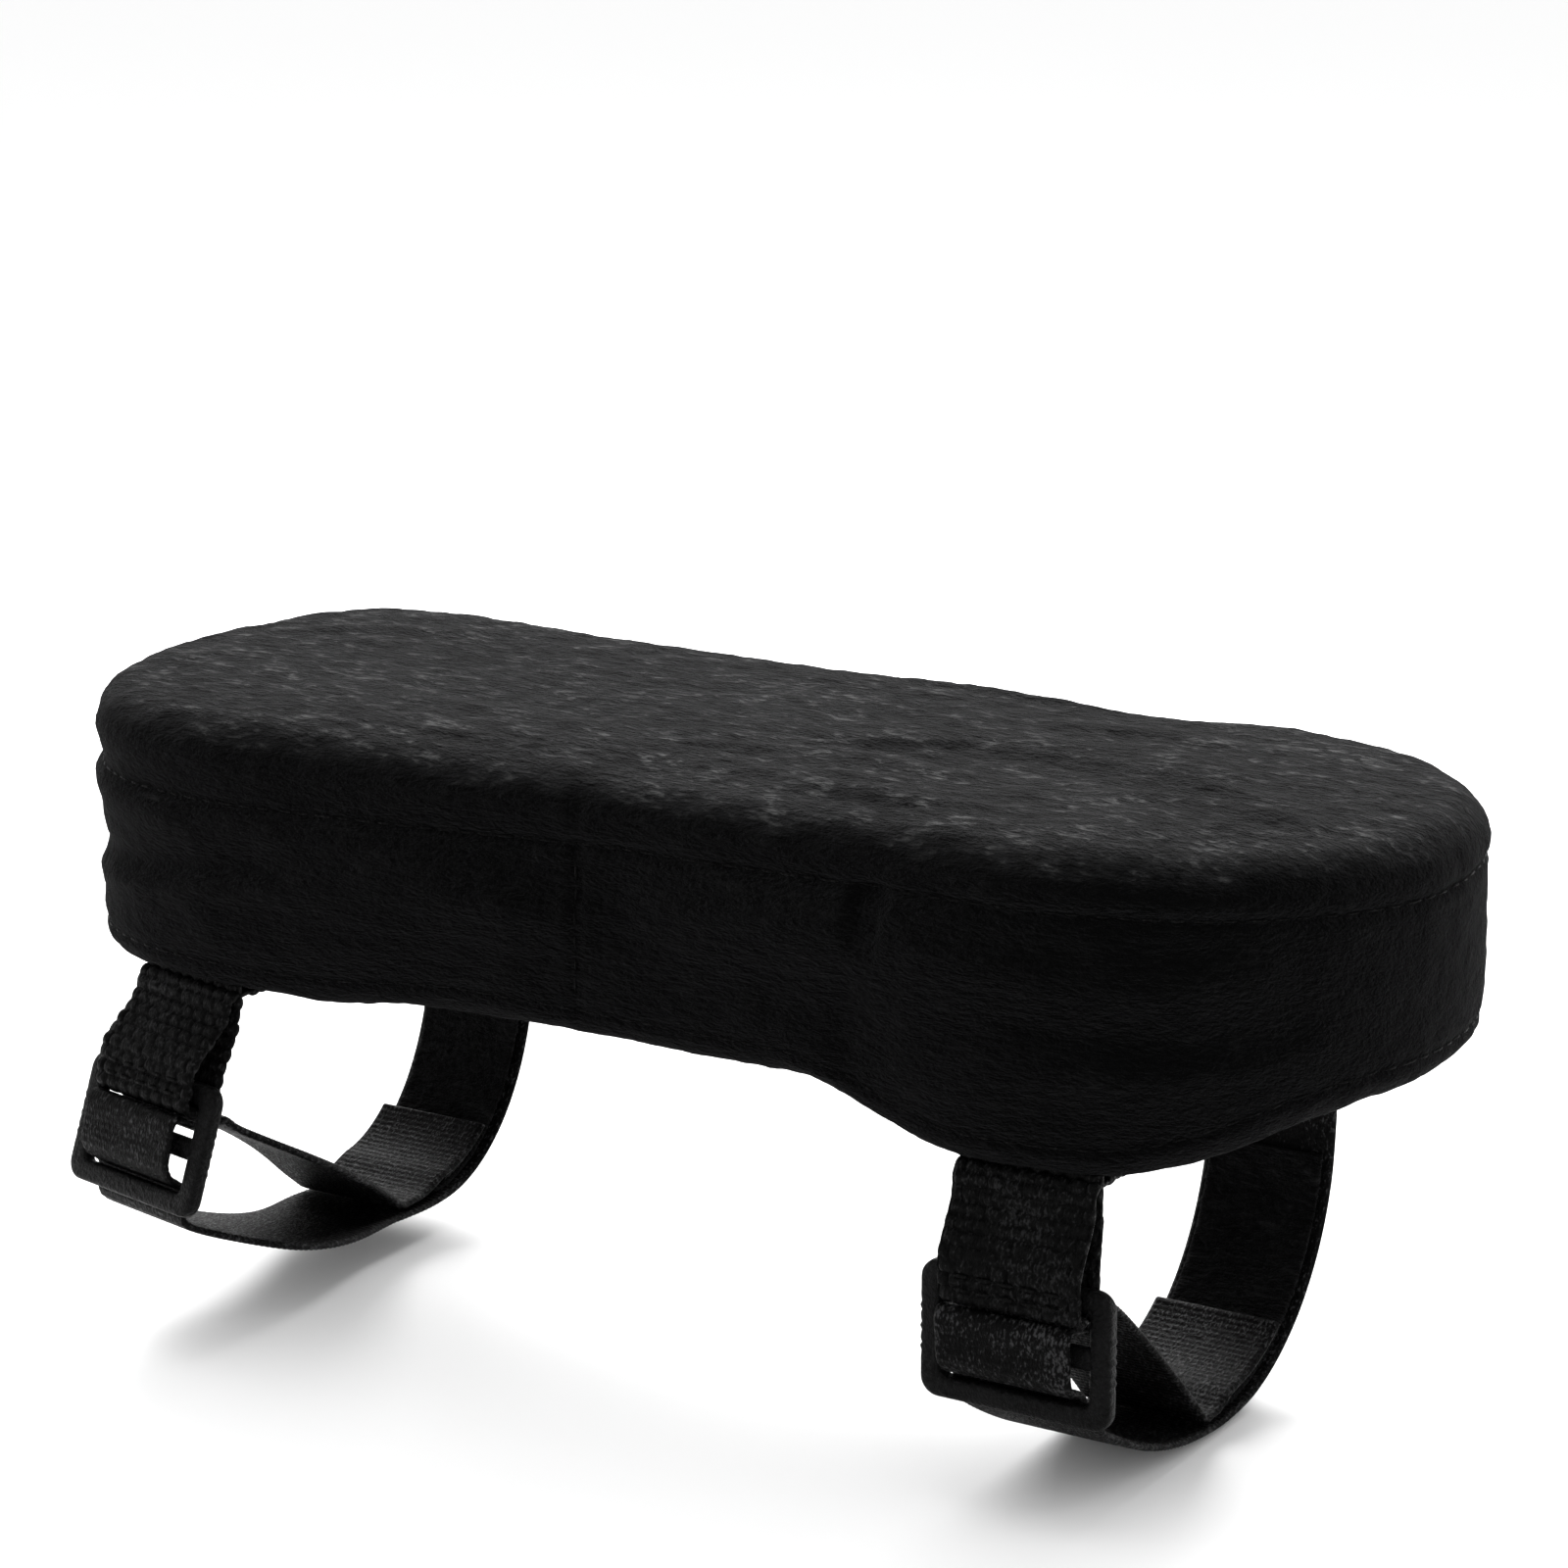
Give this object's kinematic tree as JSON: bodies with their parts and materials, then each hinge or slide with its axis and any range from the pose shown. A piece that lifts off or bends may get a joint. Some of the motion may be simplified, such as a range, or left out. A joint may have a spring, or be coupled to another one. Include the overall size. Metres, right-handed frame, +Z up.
{
  "type": "chair armrest pad",
  "caption": "Long foam armrest cushion in a zipped black plush cover, with two webbing loops below that slide buckles tighten round a chair's armrest.",
  "frame": {"origin": "the middle of the flat part of the underside, the face that lies on the armrest", "axes": "+X along the pad towards its thick end, +Y across it away from the buckles, +Z up out of the armrest"},
  "size_m": [0.2202, 0.1012, 0.0931],
  "materials": {
    "foam": "open-cell foam, matt",
    "plush": "short black plush with a brushed nap",
    "plush_underside": "short black plush, pressed flat",
    "thread": "black sewing thread",
    "zip_tape": "woven black tape",
    "zip_teeth": "black nylon",
    "zip_metal": "black lacquer, satin",
    "coarse_webbing": "coarse black basket weave",
    "fine_webbing": "fine ribbed black webbing",
    "hook_patch": "black hook tape",
    "loop_patch": "black fuzzy loop tape",
    "buckle_plastic": "black moulded plastic with a fine grain"
  },
  "bodies": {
    "pad": {"foam_core": "foam", "cover_top_panel": "plush", "cover_bottom_panel": "plush_underside", "wall_band_plain_end": "plush", "wall_band_thick_end": "plush", "wall_strip_upper": "plush", "wall_strip_lower": "plush", "top_seam_stitches": "thread", "bottom_seam_stitches": "thread", "closing_seam_stitches": "thread", "zip_tape_upper": "zip_tape", "zip_tape_lower": "zip_tape", "zip_teeth": "zip_teeth", "zip_stops": "zip_teeth", "tab_root_thick": "coarse_webbing", "strap_root_thick": "fine_webbing", "root_stitches_thick": "thread", "tab_root_plain": "coarse_webbing", "strap_root_plain": "fine_webbing", "root_stitches_plain": "thread"},
    "zip_slider": {"zip_slider": "zip_metal"},
    "zip_pull": {"zip_pull": "zip_metal"},
    "thick_loop": {"buckle_tab_thick": "coarse_webbing", "tab_stitches_thick": "thread", "buckle_thick": "buckle_plastic", "strap_thick": "fine_webbing", "loop_patch_thick": "loop_patch"},
    "thick_tail": {"strap_tail_thick": "fine_webbing", "hook_patch_thick": "hook_patch"},
    "plain_loop": {"buckle_tab_plain": "coarse_webbing", "tab_stitches_plain": "thread", "buckle_plain": "buckle_plastic", "strap_plain": "fine_webbing", "loop_patch_plain": "loop_patch"},
    "plain_tail": {"strap_tail_plain": "fine_webbing", "hook_patch_plain": "hook_patch"}
  },
  "joints": [
    {"name": "thick_loop_swing", "type": "hinge", "parent": "pad", "child": "thick_loop", "pos_m": [0.065, 0, -0.009], "axis": [0, 1, 0], "range_deg": [-25, 25]},
    {"name": "thick_tail_peel", "type": "hinge", "parent": "thick_loop", "child": "thick_tail", "pos_m": [0.065, -0.0371, -0.0275], "axis": [1, 0, 0], "range_deg": [0, 24]},
    {"name": "plain_loop_swing", "type": "hinge", "parent": "pad", "child": "plain_loop", "pos_m": [-0.0765, 0, -0.005], "axis": [0, 1, 0], "range_deg": [-25, 25]},
    {"name": "plain_tail_peel", "type": "hinge", "parent": "plain_loop", "child": "plain_tail", "pos_m": [-0.07721, -0.04309, -0.02278], "axis": [0.9744, -0.225, 0], "range_deg": [0, 24]},
    {"name": "zip_run", "type": "slide", "parent": "pad", "child": "zip_slider", "axis": [1, 0, 0], "range_m": [0, 0.1142]},
    {"name": "zip_pull_swing", "type": "hinge", "parent": "zip_slider", "child": "zip_pull", "pos_m": [-0.06539, 0.0462, 0.014], "axis": [0, 0, 1], "range_deg": [0, 170]}
  ]
}
